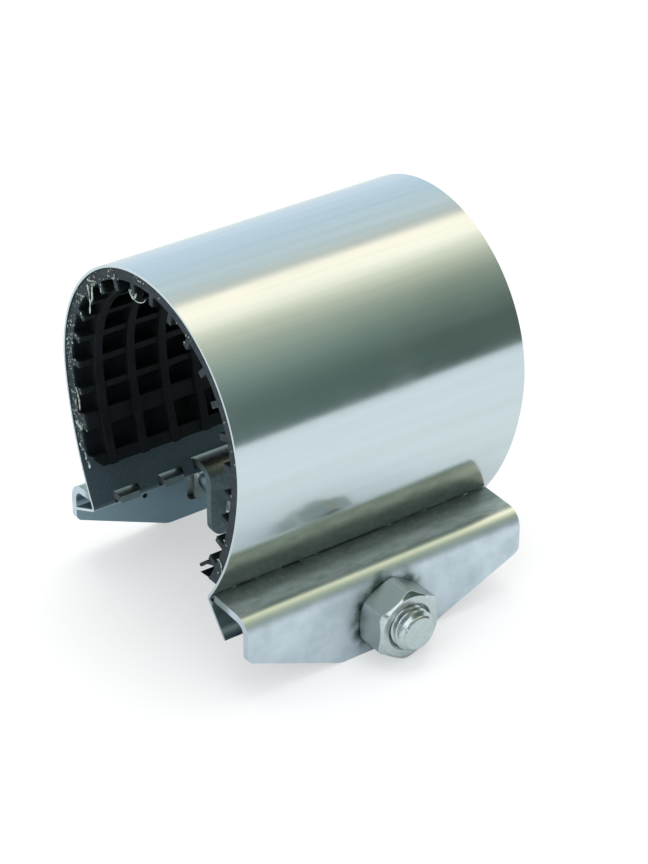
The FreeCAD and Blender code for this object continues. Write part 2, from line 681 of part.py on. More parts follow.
def make_lug(side):
    # Both lugs are drawn on the +X side; the anchor lug is then turned round to face it
    body = new_body(f"{side}_lug")
    section = lug_section(body, side, f"{side}_section", tongue=False)
    pad(body, f"{side}_channel", section, lug_length)
    inner = plate_height(side, no_inset)[1]
    fold = leg_reach(side, no_inset, cell(f"{side}_fold_drop"))
    tip = fold - cell("hook_reach")
    half_bolt = cell("tongue_width") / 2
    half_hook = cell("hook_width") / 2
    past_end = lug_length / 2 + overcut

    # The small tongues step down from the plate to the band's fold
    step = inner + cell("hook_slope")
    gaps = new_sketch(body, f"{side}_gaps", "XY_Plane")
    for name, middle in hook_places():
        draw_rectangle(gaps, name, tip, step, middle - half_hook, middle + half_hook)
    pocket(body, f"{side}_gap_cut", gaps)
    step_height = plate_height(side, step)[0]
    low = -(cell(f"{side}_plate_drop") + cell(f"{side}_hook_step"))
    thick = cell("lug_sheet")
    for name, middle in hook_places():
        hook = new_sketch(body, f"{side}_hook_{name}", "XZ_Plane", (0, 0, -middle.value))
        draw_polygon(hook, "hook", [(step, step_height), (inner, low), (tip, low),
                                    (tip, low - thick), (inner, low - thick),
                                    (step, step_height - thick)])
        pad(body, f"{side}_hook_{name}_pad", hook, cell("hook_width"))

    tongue = lug_section(body, side, f"{side}_tongue_section", tongue=True)
    pad(body, f"{side}_bolt_tongue", tongue, cell("tongue_width"))

    # The flange slopes up from its lowest edge to both ends
    slopes = new_sketch(body, f"{side}_slopes", "YZ_Plane")
    knee = cell("lug_flat") / 2
    end = lug_length / 2
    for sign in (1, -1):
        corners = [(knee * sign, -cell("lug_drop")), (end * sign, -cell("end_drop")),
                   (past_end * sign, -cell("end_drop")),
                   (past_end * sign, -(cell("lug_drop") + overcut)),
                   (knee * sign, -(cell("lug_drop") + overcut))]
        draw_polygon(slopes, f"side_{'back' if sign > 0 else 'front'}", corners)
    pocket(body, f"{side}_slope_cut", slopes, backwards=True)

    hole = new_sketch(body, f"{side}_bolt_hole", "YZ_Plane")
    draw_circle(hole, "hole", -cell("bolt_drop"), cell("bolt_hole"))
    pocket(body, f"{side}_hole_cut", hole, backwards=True)
    if side == "anchor":
        between = number(cell("anchor_flange_reach") - cell("lug_sheet") * 2)
        neck = new_sketch(body, "neck_hole", "YZ_Plane", (0, 0, between))
        half = cell("neck_width") / 2 + cell("neck_side")
        tall = cell("neck_height") / 2 + cell("neck_over")
        middle = -cell("bolt_drop")
        draw_rectangle(neck, "neck", -half, half, middle - tall, middle + tall)
        pocket(body, "neck_cut", neck, backwards=True)
        round_corners = [(y * half.value, middle.value + z * tall.value)
                         for y in (-1, 1) for z in (-1, 1)]
        fillet(body, "neck_corners", round_corners, cell("neck_hole_round"))

    flat = knee.value
    lowest = -cell("lug_drop").value
    fillet(body, f"{side}_knees", [(flat, lowest), (-flat, lowest)], cell("knee_round"))
    ends = [(sign * end.value, -cell("end_drop").value) for sign in (1, -1)]
    fillet(body, f"{side}_end_corners", ends, cell("corner_round"))
    tongue_corners = [(sign * half_bolt.value, -cell("tongue_drop").value)
                      for sign in (1, -1)]
    fillet(body, f"{side}_tongue_corners", tongue_corners, cell("tongue_round"))
    if side == "anchor":
        body.Placement = FreeCAD.Placement(point(0, 0, 0),
                                           FreeCAD.Rotation(point(0, 0, 1), 180))
    return body


# The bolt and the nut

def make_bolt():
    # Drawn along X with the underside of its head at the origin
    body = new_body("bolt")
    shank = new_sketch(body, "shank_section", "YZ_Plane")
    draw_circle(shank, "shank", no_inset, cell("bolt_size"))
    pad(body, "shank", shank, cell("bolt_length"), symmetric=False)
    base = body.Tip
    far = cell("bolt_length").value
    names = [f"Edge{n}" for n, edge in enumerate(base.Shape.Edges, start=1)
             if abs(edge.BoundBox.XMin - far) < 0.01]
    tip_edge = body.newObject("PartDesign::Chamfer", "tip")
    tip_edge.Base = (base, names)
    bind(tip_edge, "Size", cell("tip_chamfer"))
    doc.recompute()

    neck = new_sketch(body, "neck_section", "YZ_Plane")
    half, tall = cell("neck_width") / 2, cell("neck_height") / 2
    draw_rectangle(neck, "neck", -half, half, -tall, tall)
    pad(body, "neck", neck, cell("neck_length"), symmetric=False)
    corners = [(y * half.value, z * tall.value) for y in (-1, 1) for z in (-1, 1)]
    fillet(body, "neck_corners", corners, cell("neck_round"))

    dome = new_sketch(body, "head_section", "XZ_Plane")
    radius, height = cell("head_diameter") / 2, cell("head_height")
    ball = (radius * radius + height * height) / (height * 2)
    axis = dome.addGeometry(Part.LineSegment(point(0, 0), point(-height.value, 0)))
    face = dome.addGeometry(Part.LineSegment(point(0, 0), point(0, radius.value)))
    centre_x = ball.value - height.value
    first = math.atan2(radius.value, -centre_x)
    circle = Part.Circle(point(centre_x, 0), point(0, 0, 1), ball.value)
    cap = dome.addGeometry(Part.ArcOfCircle(circle, first, math.pi))
    dome.addConstraint(Sketcher.Constraint("Coincident", axis, 1, -1, 1))
    dome.addConstraint(Sketcher.Constraint("Coincident", face, 1, -1, 1))
    dome.addConstraint(Sketcher.Constraint("Horizontal", axis))
    dome.addConstraint(Sketcher.Constraint("Vertical", face))
    dome.addConstraint(Sketcher.Constraint("Coincident", face, 2, cap, 1))
    dome.addConstraint(Sketcher.Constraint("Coincident", axis, 2, cap, 2))
    dome.addConstraint(Sketcher.Constraint("PointOnObject", cap, 3, -1))
    hold(dome, "head_height", "Distance", axis, size=height)
    hold(dome, "head_radius", "Distance", face, size=radius)
    head = body.newObject("PartDesign::Revolution", "head")
    head.Profile = dome
    head.ReferenceAxis = (dome, ["H_Axis"])
    head.Angle = 360
    doc.recompute()
    body.Placement = FreeCAD.Placement(
        point(-cell("anchor_flange_reach").value, 0, -cell("bolt_drop").value),
        FreeCAD.Rotation())
    return body


def make_nut():
    # Drawn along X from its inner face, with a corner straight up
    body = new_body("nut")
    section = new_sketch(body, "hexagon", "YZ_Plane")
    corner = cell("nut_flats") / math.sqrt(3)
    half = cell("nut_flats") / 2
    rim = [(no_inset, corner), (-half, corner / 2), (-half, -(corner / 2)),
           (no_inset, -corner), (half, -(corner / 2)), (half, corner / 2)]
    draw_polygon(section, "rim", rim)
    height = cell("nut_height")
    pad(body, "hexagon_bar", section, height, symmetric=False)
    bore = new_sketch(body, "bore_section", "YZ_Plane")
    draw_circle(bore, "bore", no_inset, cell("bolt_size") + cell("nut_clearance") * 2)
    pocket(body, "bore", bore, backwards=True)

    # Chamfers outside, and mouths of the bore
    past = corner + overcut
    flare = tangent(cell("nut_slope"))
    outer = (past - cell("nut_face")) * flare
    mouth = cell("bolt_size") / 2 + cell("nut_clearance")
    sink = cell("nut_sink")
    for name, face, inward in (("inner", no_inset, 1), ("outer", height, -1)):
        cuts = new_sketch(body, f"{name}_chamfers", "XZ_Plane")
        draw_polygon(cuts, "rim", [(face - inward * overcut, cell("nut_face")),
                                         (face, cell("nut_face")),
                                         (face + outer * inward, past),
                                         (face - inward * overcut, past)])
        groove(body, f"{name}_rim_chamfer", cuts)
        mouths = new_sketch(body, f"{name}_mouth", "XZ_Plane")
        low = cell("bolt_size") / 4
        draw_polygon(mouths, "mouth", [(face - inward * overcut, low),
                                             (face - inward * overcut, mouth + sink),
                                             (face, mouth + sink),
                                             (face + sink * inward, mouth),
                                             (face + sink * inward, low)])
        groove(body, f"{name}_mouth_chamfer", mouths)
    turned = FreeCAD.Rotation(point(1, 0, 0), cell("nut_turned").value)
    body.Placement = FreeCAD.Placement(
        point(cell("nut_flange_reach").value, 0, -cell("bolt_drop").value), turned)
    return body


pieces = [make_band(), make_mat(), make_lug("nut"), make_lug("anchor"), make_bolt(),
          make_nut()]
doc.recompute()

# Nothing is written unless every object and every solid is sound
for thing in doc.Objects:
    if "Invalid" in thing.State or "Error" in thing.State:
        raise RuntimeError(f"{thing.Label} failed: {thing.State}")
for piece in pieces:
    shape = piece.Shape
    if shape.isNull() or not shape.isValid() or len(shape.Solids) != 1:
        raise RuntimeError(f"{piece.Label} is not one sound solid")
os.makedirs("parts", exist_ok=True)
for piece in pieces:
    piece.Shape.exportStep(f"parts/{piece.Label}.step")
    box = piece.Shape.BoundBox
    print(f"{piece.Label}: {piece.Shape.Volume:.0f} mm3, X {box.XMin:.1f} to {box.XMax:.1f}, "
          f"Y {box.YMin:.1f} to {box.YMax:.1f}, Z {box.ZMin:.1f} to {box.ZMax:.1f}")
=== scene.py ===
import bpy
import bmesh
import math
from mathutils import Matrix, Vector


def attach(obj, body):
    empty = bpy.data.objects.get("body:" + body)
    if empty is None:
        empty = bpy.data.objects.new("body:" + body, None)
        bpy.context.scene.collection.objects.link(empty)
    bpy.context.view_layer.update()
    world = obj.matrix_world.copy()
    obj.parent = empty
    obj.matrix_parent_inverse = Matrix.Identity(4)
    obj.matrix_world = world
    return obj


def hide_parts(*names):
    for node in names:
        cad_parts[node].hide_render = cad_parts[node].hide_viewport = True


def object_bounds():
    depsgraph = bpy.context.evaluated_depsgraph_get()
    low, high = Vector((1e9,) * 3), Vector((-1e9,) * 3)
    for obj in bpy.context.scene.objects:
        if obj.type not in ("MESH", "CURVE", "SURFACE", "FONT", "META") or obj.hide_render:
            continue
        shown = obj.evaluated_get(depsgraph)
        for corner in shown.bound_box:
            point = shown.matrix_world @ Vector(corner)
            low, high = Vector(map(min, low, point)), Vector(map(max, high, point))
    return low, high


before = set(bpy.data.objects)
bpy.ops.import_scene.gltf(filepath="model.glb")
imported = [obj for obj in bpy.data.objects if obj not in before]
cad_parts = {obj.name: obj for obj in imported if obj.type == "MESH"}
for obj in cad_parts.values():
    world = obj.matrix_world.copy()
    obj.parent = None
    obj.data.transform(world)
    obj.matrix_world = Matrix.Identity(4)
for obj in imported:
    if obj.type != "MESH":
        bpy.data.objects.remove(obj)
cadLow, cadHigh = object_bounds()
mm = 0.001
nodeGrid = (220, 180)
bpy.context.scene.view_settings.view_transform = "Standard"


# Colours and node trees

def linear(hexColour):
    found = []
    for start in (0, 2, 4):
        value = int(hexColour[start:start + 2], 16) / 255
        found.append(value / 12.92 if value <= 0.04045 else ((value + 0.055) / 1.055) ** 2.4)
    return (*found, 1.0)


def brighter(hexColour, factor):
    return (*[channel * factor for channel in linear(hexColour)[:3]], 1.0)


def tones(*stops):
    # a ramp's stops, each a place from 0 to 1 and a colour
    return [(place, linear(hexColour)) for place, hexColour in stops]


def pattern(size, detail=3.0, rough=0.55):
    # a noise's settings, with size as the pattern's length in millimetres
    return {"Scale": 1000 / size, "Detail": detail, "Roughness": rough}


def span(low, high):
    return {"From Min": low, "From Max": high}


def result(low, high):
    return {"To Min": low, "To Max": high}


def addNode(tree, kind, spot, links=None, stops=(), **settings):
    # a link comes from an output, from a node's first output in use, or from a plain value
    node = tree.nodes.new(kind)
    node.location = (spot[0] * nodeGrid[0], spot[1] * nodeGrid[1])
    for name, value in settings.items():
        setattr(node, name, value)
    for name, source in (links or {}).items():
        named = [s for s in node.inputs if s.enabled and s.name == name]
        socket = named[0] if named else node.inputs[name]
        if isinstance(source, bpy.types.Node):
            source = [s for s in source.outputs if s.enabled][0]
        if isinstance(source, bpy.types.NodeSocket):
            tree.links.new(source, socket)
        else:
            socket.default_value = source
    if stops:
        ramp = node.color_ramp
        while len(ramp.elements) < len(stops):
            ramp.elements.new(0.5)
        for element, (position, colour) in zip(ramp.elements, stops):
            element.position = position
            element.color = colour
    return node


def facing(tree, spot):
    # how squarely the surface faces along each axis of the part, either way
    normal = addNode(tree, "ShaderNodeTexCoord", spot).outputs["Normal"]
    square = addNode(tree, "ShaderNodeVectorMath", (spot[0] + 1, spot[1]), {0: normal}, operation="ABSOLUTE")
    return addNode(tree, "ShaderNodeSeparateXYZ", (spot[0] + 2, spot[1]), {"Vector": square}).outputs


def offMiddle(tree, spot, place, axis):
    # distance from the part's middle along one axis, either way
    parts = addNode(tree, "ShaderNodeSeparateXYZ", spot, {"Vector": place}).outputs
    return addNode(tree, "ShaderNodeMath", (spot[0] + 1, spot[1]), {0: parts[axis]}, operation="ABSOLUTE")


def newMaterial(name):
    material = bpy.data.materials.new(name)
    material.use_nodes = True
    tree = material.node_tree
    tree.nodes.clear()
    place = addNode(tree, "ShaderNodeTexCoord", (-6, 0)).outputs["Object"]
    return material, tree, place


softStep = {"interpolation_type": "SMOOTHSTEP"}
asColour = {"data_type": "RGBA"}


# Cold rolled stainless strip: bright outside, with faint rolling lines along the strip, fainter drag marks
# across it and dull finger marks, and inside darker and duller, a film left from bonding the mat with painted
# shade darkening it
def makeBandSteel():
    look = {"bright": tones((0.38, "dadfe1"), (0.6, "dfe4e6")), "drag": (1, 0.03, 1),
            "dragMarks": pattern(2.2, 5.0, 0.6), "lines": (8, 220, 8), "rolling": pattern(1000, 2.0),
            "rollingShare": 0.35, "smudges": pattern(14, 4.0, 0.6),
            "fingers": tones((0.35, "000000"), (0.7, "ffffff")), "fingersShare": 0.65,
            "film": tones((0.5, "74868f"), (0.8, "8c9ba3")), "specks": pattern(0.4, 2.0),
            "inward": span(-0.004, -0.010), "rough": result(0.10, 0.19), "filmRough": 0.55}
    material, tree, place = newMaterial("stainless_strip")
    drawn = addNode(tree, "ShaderNodeMapping", (-4, 1), {"Vector": place, "Scale": look["lines"]})
    lines = addNode(tree, "ShaderNodeTexNoise", (-3, 1), {"Vector": drawn, **look["rolling"]})
    smudges = addNode(tree, "ShaderNodeTexNoise", (-3, -1), {"Vector": place, **look["smudges"]})
    fingers = addNode(tree, "ShaderNodeValToRGB", (-2, -1), {"Fac": smudges}, look["fingers"])
    lines = addNode(tree, "ShaderNodeMath", (-1, 1), {0: lines, 1: look["rollingShare"]},
                    operation="MULTIPLY")
    marks = addNode(tree, "ShaderNodeMath", (-1, -1), {0: fingers, 1: look["fingersShare"]},
                    operation="MULTIPLY")
    both = addNode(tree, "ShaderNodeMath", (0, 0), {0: lines, 1: marks}, operation="ADD")
    outside = addNode(tree, "ShaderNodeMapRange", (1, 0), {"Value": both, **look["rough"]})
    along = addNode(tree, "ShaderNodeMapping", (-4, 3), {"Vector": place, "Scale": look["drag"]})
    drag = addNode(tree, "ShaderNodeTexNoise", (-3, 3), {"Vector": along, **look["dragMarks"]})
    bright = addNode(tree, "ShaderNodeValToRGB", (-1, 3), {"Fac": drag}, look["bright"])
    specks = addNode(tree, "ShaderNodeTexNoise", (-2, -4), {"Vector": place, **look["specks"]})
    # the inside's darker tones: a dull film with painted shade
    film = addNode(tree, "ShaderNodeValToRGB", (-1, -4), {"Fac": specks}, look["film"])

    # inside is where the surface faces the pipe's axis
    normal = addNode(tree, "ShaderNodeTexCoord", (-6, -3)).outputs["Normal"]
    fromAxis = addNode(tree, "ShaderNodeMapping", (-5, -3), {"Vector": place, "Scale": (1, 0, 1)})
    outward = addNode(tree, "ShaderNodeVectorMath", (-4, -3), {0: normal, 1: fromAxis},
                      operation="DOT_PRODUCT")
    inside = addNode(tree, "ShaderNodeMapRange", (-3, -3), {"Value": outward, **look["inward"]}, **softStep)
    colour = addNode(tree, "ShaderNodeMix", (2, 2), {"Factor": inside, "A": bright, "B": film}, **asColour)
    rough = addNode(tree, "ShaderNodeMix", (2, 0), {"Factor": inside, "A": outside, "B": look["filmRough"]})
    shader = addNode(tree, "ShaderNodeBsdfPrincipled", (4, 0), {
        "Base Color": colour, "Roughness": rough, "Metallic": 1.0})
    addNode(tree, "ShaderNodeOutputMaterial", (6, 0), {"Surface": shader})
    return material


# Pressed stainless plate: satin, a little olive where the press has rubbed it, with a painted highlight, a
# paler cream, round the bend, and painted light on the flange and the sheared edges, which are a paler,
# duller blue grey by how they face, bluer still on the flange's inside as a painted reflection. It is darker
# in patches where it goes under the band's folds, darker round the fastener with grime and painted contact
# shade, and has one small dark dot by the anchor's hole
def makeLugSteel():
    look = {"streak": (1, 0.35, 1), "mottle": pattern(1.6, 5.0, 0.6),
            "rubbed": tones((0.3, "9aa29a"), (0.62, "babfb9")), "cloud": pattern(9.0, 4.0, 0.6),
            "pickled": tones((0.32, "ccd4db"), (0.6, "e4e9ef")), "bendStart": span(0.15, 0.40),
            "bendEnd": span(0.95, 0.75), "bendHighlight": "ebeee4", "flangeFace": span(0.55, 0.97),
            "edgeFace": span(0.80, 0.95), "outerSkin": span(0.0345, 0.0349), "inside": "b9d0db",
            "tuckedReach": span(0.030, 0.027), "tuckedPatches": pattern(1.2, 5.0, 0.7),
            "tuckedPatchShare": result(0.3, 1.0), "tucked": "6f7973", "fastener": (0, 0, -0.0444),
            "grimeAndShadeReach": span(0.0118, 0.0086), "patches": pattern(4.5, 3.0, 0.5),
            "patchy": span(0.30, 0.66), "grimeAndShade": "62726f", "darkDot": (-0.0332, -0.0187, -0.0436),
            "darkDotReach": span(0.0008, 0.0005), "darkDotTone": "2a3136", "grain": pattern(0.35, 2.0),
            "bump": {"Strength": 0.15, "Distance": 0.00002}, "rough": result(0.36, 0.46),
            "bendRough": 0.33, "flangeRough": 0.48}
    material, tree, place = newMaterial("pressed_stainless")
    pressed = addNode(tree, "ShaderNodeMapping", (-5, 1), {"Vector": place, "Scale": look["streak"]})
    vectors = {"mottle": pressed, "cloud": place, "tuckedPatches": place, "patches": place, "grain": place}
    noises = {name: addNode(tree, "ShaderNodeTexNoise", (-4, n), {"Vector": vector, **look[name]})
              for n, (name, vector) in enumerate(vectors.items())}
    rubbed = addNode(tree, "ShaderNodeValToRGB", (-2, 1), {"Fac": noises["mottle"]}, look["rubbed"])
    pickled = addNode(tree, "ShaderNodeValToRGB", (-2, 2), {"Fac": noises["cloud"]}, look["pickled"])

    # the steps mark off the plate's places, by how they face and how far they lie from the middle,
    # the fastener and the dark dot
    sides = facing(tree, (-8, 6))
    reach = offMiddle(tree, (-6, -5), place, "X")
    across = addNode(tree, "ShaderNodeMapping", (-6, -3), {"Vector": place, "Scale": (0, 1, 1)})
    away = addNode(tree, "ShaderNodeVectorMath", (-5, -3), {0: across, 1: look["fastener"]},
                   operation="DISTANCE")
    # one small dark dot on the anchor flange's inside
    pitAway = addNode(tree, "ShaderNodeVectorMath", (-5, -7), {0: place, 1: look["darkDot"]},
                      operation="DISTANCE")
    measures = {"bendStart": sides["X"], "bendEnd": sides["X"], "flangeFace": sides["X"],
                "edgeFace": sides["Y"], "outerSkin": reach, "tuckedReach": reach, "grimeAndShadeReach": away,
                "patchy": noises["patches"], "darkDotReach": pitAway}
    steps = {name: addNode(tree, "ShaderNodeMapRange", (-3, -n), {"Value": value, **look[name]}, **softStep)
             for n, (name, value) in enumerate(measures.items())}
    inner = addNode(tree, "ShaderNodeMath", (-2, 6), {0: 1.0, 1: steps["outerSkin"]}, operation="SUBTRACT")
    # darker in patches where the plate goes under the band's folds
    share = addNode(tree, "ShaderNodeMapRange", (-2, 9), {"Value": noises["tuckedPatches"], **look["tuckedPatchShare"]})
    shares = {"bend": (steps["bendStart"], steps["bendEnd"]), "inner": (steps["flangeFace"], inner),
              "tucked": (steps["tuckedReach"], share), "close": (steps["grimeAndShadeReach"], steps["outerSkin"])}
    both = {name: addNode(tree, "ShaderNodeMath", (-1, -n), {0: first, 1: second}, operation="MULTIPLY")
            for n, (name, (first, second)) in enumerate(shares.items())}
    # grime with painted contact shade, darker in patches round the fastener on the outer skin
    grimy = addNode(tree, "ShaderNodeMath", (0, -3), {0: both["close"], 1: steps["patchy"]},
                    operation="MULTIPLY")
    flange = addNode(tree, "ShaderNodeMath", (-1, 5), {0: steps["flangeFace"], 1: steps["edgeFace"]},
                     operation="MAXIMUM")

    # painted light: the flange and sheared edges are paler and bluer by how they face, bluer still on the
    # flange's inside as a painted reflection
    pickled = addNode(tree, "ShaderNodeMix", (0, 3), {
        "Factor": both["inner"], "A": pickled, "B": linear(look["inside"])}, **asColour)
    colour = rubbed
    # layers in turn: painted highlight round the bend, painted light on the flange, darker patches under the
    # folds, grime and painted contact shade, the dark dot
    layers = ((both["bend"], linear(look["bendHighlight"])), (flange, pickled),
              (both["tucked"], linear(look["tucked"])), (grimy, linear(look["grimeAndShade"])),
              (steps["darkDotReach"], linear(look["darkDotTone"])))
    for n, (factor, layer) in enumerate(layers):
        colour = addNode(tree, "ShaderNodeMix", (n - 1, 12), {
            "Factor": factor, "A": colour, "B": layer}, **asColour)
    rough = addNode(tree, "ShaderNodeMapRange", (0, 0), {"Value": noises["mottle"], **look["rough"]})
    for n, (factor, layer) in enumerate(((both["bend"], "bendRough"), (flange, "flangeRough"))):
        rough = addNode(tree, "ShaderNodeMix", (n + 1, 0), {"Factor": factor, "A": rough, "B": look[layer]})
    bump = addNode(tree, "ShaderNodeBump", (2, -2), {"Height": noises["grain"], **look["bump"]})
    shader = addNode(tree, "ShaderNodeBsdfPrincipled", (5, 0), {
        "Base Color": colour, "Roughness": rough, "Metallic": 1.0, "Normal": bump})
    addNode(tree, "ShaderNodeOutputMaterial", (7, 0), {"Surface": shader})
    return material


# Stainless fasteners with finely worn surfaces: the rolled bolt is bright and the turned nut is satin, with
# the bar's duller skin left on its flats
def makeFastenerSteel(name, rough, chamferRough, skin):
    look = {"wear": pattern(0.9, 4.0, 0.6), "turned": tones((0.35, "cbd0cf"), (0.6, "d6dad9")),
            "flats": span(0.35, 0.15), "chamferStart": span(0.78, 0.84), "chamferEnd": span(0.95, 0.89)}
    material, tree, place = newMaterial(name)
    wear = addNode(tree, "ShaderNodeTexNoise", (-3, 0), {"Vector": place, **look["wear"]})
    turned = addNode(tree, "ShaderNodeValToRGB", (-1, 1), {"Fac": wear}, look["turned"])
    ends = facing(tree, (-5, -3))["X"]
    steps = {step: addNode(tree, "ShaderNodeMapRange", (-2, n - 5), {"Value": ends, **look[step]}, **softStep)
             for n, step in enumerate(("flats", "chamferStart", "chamferEnd"))}
    chamfer = addNode(tree, "ShaderNodeMath", (-1, -3), {0: steps["chamferStart"], 1: steps["chamferEnd"]},
                      operation="MULTIPLY")
    colour = addNode(tree, "ShaderNodeMix", (1, 2), {
        "Factor": steps["flats"], "A": turned, "B": linear(skin)}, **asColour)
    satin = addNode(tree, "ShaderNodeMapRange", (1, 0), {"Value": wear, **rough})
    satin = addNode(tree, "ShaderNodeMix", (2, 0), {"Factor": chamfer, "A": satin, "B": chamferRough})
    shader = addNode(tree, "ShaderNodeBsdfPrincipled", (4, 0), {
        "Base Color": colour, "Roughness": satin, "Metallic": 1.0})
    addNode(tree, "ShaderNodeOutputMaterial", (6, 0), {"Surface": shader})
    return material


# Moulded nitrile rubber: blue black, with a dusty bloom, and a paler cut edge at the front and back
def makeMatRubber():
    look = {"cloud": pattern(4.0, 5.0, 0.6), "moulded": tones((0.35, "05090b"), (0.75, "0d151a")),
            "dust": pattern(1.1, 6.0, 0.7), "dusty": tones((0.45, "141e25"), (0.68, "28363e")),
            "cutEdge": span(0.0370, 0.0374), "grain": pattern(0.5, 3.0),
            "bump": {"Strength": 0.3, "Distance": 0.00004}, "rough": result(0.45, 0.65), "shine": 0.32}
    material, tree, place = newMaterial("nitrile_rubber")
    noises = {name: addNode(tree, "ShaderNodeTexNoise", (-3, n), {"Vector": place, **look[name]})
              for n, name in enumerate(("cloud", "dust", "grain"))}
    moulded = addNode(tree, "ShaderNodeValToRGB", (-1, 1), {"Fac": noises["cloud"]}, look["moulded"])
    dusty = addNode(tree, "ShaderNodeValToRGB", (-1, 3), {"Fac": noises["dust"]}, look["dusty"])
    reach = offMiddle(tree, (-5, 5), place, "Y")
    ends = addNode(tree, "ShaderNodeMapRange", (-3, 5), {"Value": reach, **look["cutEdge"]}, **softStep)
    colour = addNode(tree, "ShaderNodeMix", (0, 2), {"Factor": ends, "A": moulded, "B": dusty}, **asColour)
    rough = addNode(tree, "ShaderNodeMapRange", (1, 0), {"Value": noises["cloud"], **look["rough"]})
    bump = addNode(tree, "ShaderNodeBump", (2, -2), {"Height": noises["grain"], **look["bump"]})
    shader = addNode(tree, "ShaderNodeBsdfPrincipled", (4, 0), {
        "Base Color": colour, "Roughness": rough, "Specular IOR Level": look["shine"], "Normal": bump})
    addNode(tree, "ShaderNodeOutputMaterial", (6, 0), {"Surface": shader})
    return material


# Dried contact adhesive: milky, a little yellow where it is thick, with a dull skin
def makeGlue():
    look = {"cloud": pattern(0.9, 4.0, 0.6), "milky": tones((0.38, "52645f"), (0.66, "c6d2c6")),
            "rough": result(0.35, 0.55)}
    material, tree, place = newMaterial("dried_adhesive")
    cloud = addNode(tree, "ShaderNodeTexNoise", (-3, 0), {"Vector": place, **look["cloud"]})
    colour = addNode(tree, "ShaderNodeValToRGB", (-1, 1), {"Fac": cloud}, look["milky"])
    rough = addNode(tree, "ShaderNodeMapRange", (1, 0), {"Value": cloud, **look["rough"]})
    shader = addNode(tree, "ShaderNodeBsdfPrincipled", (4, 0), {"Base Color": colour, "Roughness": rough})
    addNode(tree, "ShaderNodeOutputMaterial", (6, 0), {"Surface": shader})
    return material


bandSteel = makeBandSteel()
lugSteel = makeLugSteel()
boltSteel = makeFastenerSteel("rolled_stainless", result(0.16, 0.24), chamferRough=0.2, skin="d6dad9")
nutSteel = makeFastenerSteel("turned_stainless", result(0.26, 0.34), chamferRough=0.12, skin="b3bab6")
matRubber = makeMatRubber()
dryGlue = makeGlue()
print("materials made")


# The pressed and moulded parts stay as they are built. The lugs and the mat get softened edges, while the
# band keeps its exact normals, because a mirror shows every facet

def dress(name, material, edge=0, angle=28):
    # edge is the softened edge's width in millimetres, and angle the least bend that gets one
    soft = {"weld": 0.000002, "segments": 2}
    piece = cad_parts[name]
    piece.data.materials.clear()
    piece.data.materials.append(material)
    if edge:
        weld = piece.modifiers.new("weld", "WELD")
        weld.merge_threshold = soft["weld"]
        bevel = piece.modifiers.new("soft_edges", "BEVEL")
        bevel.width = edge * mm
        bevel.segments = soft["segments"]
        bevel.limit_method = "ANGLE"
        bevel.angle_limit = math.radians(angle)
        flat = piece.modifiers.new("flat_faces", "WEIGHTED_NORMAL")
        flat.keep_sharp = True


dress("band", bandSteel)
dress("gasket", matRubber, edge=0.15, angle=35)
dress("nut_lug", lugSteel, edge=0.25)
dress("anchor_lug", lugSteel, edge=0.25)
print("frame dressed")


# A new piece is a finished mesh, which then takes its body and material

def asPiece(name, mesh, body, material):
    piece = bpy.data.objects.new(name, mesh)
    bpy.context.scene.collection.objects.link(piece)
    mesh.materials.clear()
    mesh.materials.append(material)
    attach(piece, body)
    return piece


def finished(made, name, smoothBelow=30):
    # points nearer than same and edges shorter than sliver, in metres, are joined
    same, sliver = 1e-7, 1e-8
    bmesh.ops.remove_doubles(made, verts=made.verts, dist=same)
    bmesh.ops.dissolve_degenerate(made, edges=made.edges, dist=sliver)
    bmesh.ops.recalc_face_normals(made, faces=made.faces)
    mesh = bpy.data.meshes.new(name)
    made.to_mesh(mesh)
    made.free()
    mesh.polygons.foreach_set("use_smooth", [True] * len(mesh.polygons))
    mesh.set_sharp_from_angle(angle=math.radians(smoothBelow))
    return mesh


def bridge(made, first, second):
    for n in range(len(first)):
        following = (n + 1) % len(first)
        made.faces.new((first[n], first[following], second[following], second[n]))


# The thread's form: one profile for bolt and nut, so their flanks follow each other. The shares are of one
# pitch, and drop is the height of the bolt's line

thread = {"pitch": 1.5, "crest": 4.9, "root": 4.02, "crestShare": 0.16, "rootShare": 0.2,
          "crestParts": 2, "flankParts": 5, "rootParts": 1, "steps": 72, "spareTurns": 2, "drop": -44.4}
crestHalf = thread["crestShare"] / 2
flankEnd = 0.5 - thread["rootShare"] / 2


def threadRadius(phase, inner, outer):
    # phase runs from 0 to 1 over one pitch, with the crest's middle at 0.5
    away = abs(phase % 1 - 0.5)
    share = min(1, max(0, (away - crestHalf) / (flankEnd - crestHalf)))
    return outer + (inner - outer) * share


def threadStations():
    crest, flank, root = (thread[name] for name in ("crestParts", "flankParts", "rootParts"))
    places = []
    for a, b, parts in ((0, 0.5 - flankEnd, root), (0.5 - flankEnd, 0.5 - crestHalf, flank),
                        (0.5 - crestHalf, 0.5 + crestHalf, crest),
                        (0.5 + crestHalf, 0.5 + flankEnd, flank), (0.5 + flankEnd, 1, root)):
        places += [a + (b - a) * k / parts for k in range(parts)]
    return places


